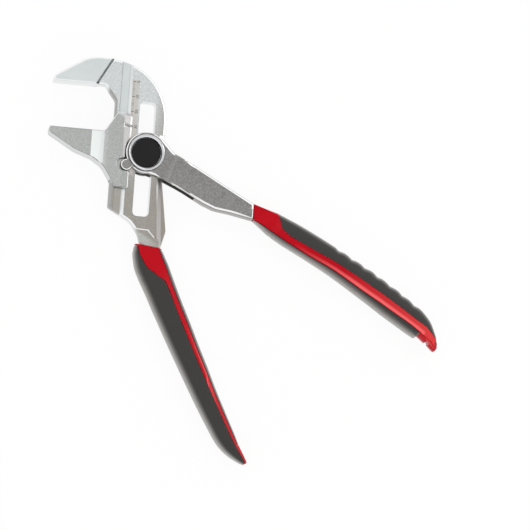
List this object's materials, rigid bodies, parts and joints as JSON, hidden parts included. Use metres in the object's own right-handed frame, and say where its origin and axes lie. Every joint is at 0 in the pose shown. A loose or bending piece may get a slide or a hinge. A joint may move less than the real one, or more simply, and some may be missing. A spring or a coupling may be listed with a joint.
{
  "type": "pliers wrench",
  "caption": "Adjustable pliers wrench with parallel smooth jaws, a slotted bar with a millimetre scale, a sliding push-button pivot and two-tone grips.",
  "frame": {"origin": "on the pivot axis, in the flat back of the rear cap, with the tool lying on its back", "axes": "+Z along the pivot axis from the back to the front face with the push button, +Y along the slotted bar from the grip to the fixed jaw, so the jaws open towards -X and the lever reaches towards +X"},
  "size_m": [0.2681, 0.2589, 0.0182],
  "materials": {
    "forged_steel": "forged and satin plated",
    "ground_steel": "satin",
    "polished_steel": "polished",
    "spring_wire": "bright drawn wire",
    "black_plastic": "fine texture",
    "red_plastic": "satin gloss",
    "dark_rubber": "soft matte"
  },
  "bodies": {
    "fixed_handle": {"fixed_jaw": "forged_steel", "fixed_grip_core": "red_plastic", "fixed_grip_outer_pad": "dark_rubber", "fixed_grip_inner_pad": "dark_rubber"},
    "pivot": {"pivot_sleeve": "ground_steel", "button_bezel": "polished_steel", "rear_cap": "ground_steel", "snap_ring": "spring_wire", "button_spring": "spring_wire"},
    "lever_handle": {"lever": "forged_steel", "lever_grip_core": "red_plastic", "lever_grip_outer_pad": "dark_rubber", "lever_grip_inner_pad": "dark_rubber"},
    "slider": {"sliding_jaw": "ground_steel"},
    "button": {"lock_bolt": "ground_steel", "button_cap": "black_plastic"}
  },
  "joints": [
    {"name": "adjust_slide", "type": "slide", "parent": "fixed_handle", "child": "pivot", "axis": [0, 1, 0], "range_m": [-0.0325, 0.025]},
    {"name": "lever_hinge", "type": "hinge", "parent": "pivot", "child": "lever_handle", "pos_m": [0, 0, 0.0082], "axis": [0, 0, 1], "range_deg": [-22, 3]},
    {"name": "jaw_slide", "type": "slide", "parent": "pivot", "child": "slider", "axis": [0, 1, 0], "range_m": [-0.00073, 0.0053]},
    {"name": "button_press", "type": "slide", "parent": "pivot", "child": "button", "axis": [0, 0, 1], "range_m": [0, 0.0028], "stiffness_N_per_m": 800, "springref_m": 0.006, "deforming": ["button_spring"]}
  ],
  "couplings": [
    {"joint": "jaw_slide", "follows": "lever_hinge", "m_per_rad": -0.0138}
  ]
}
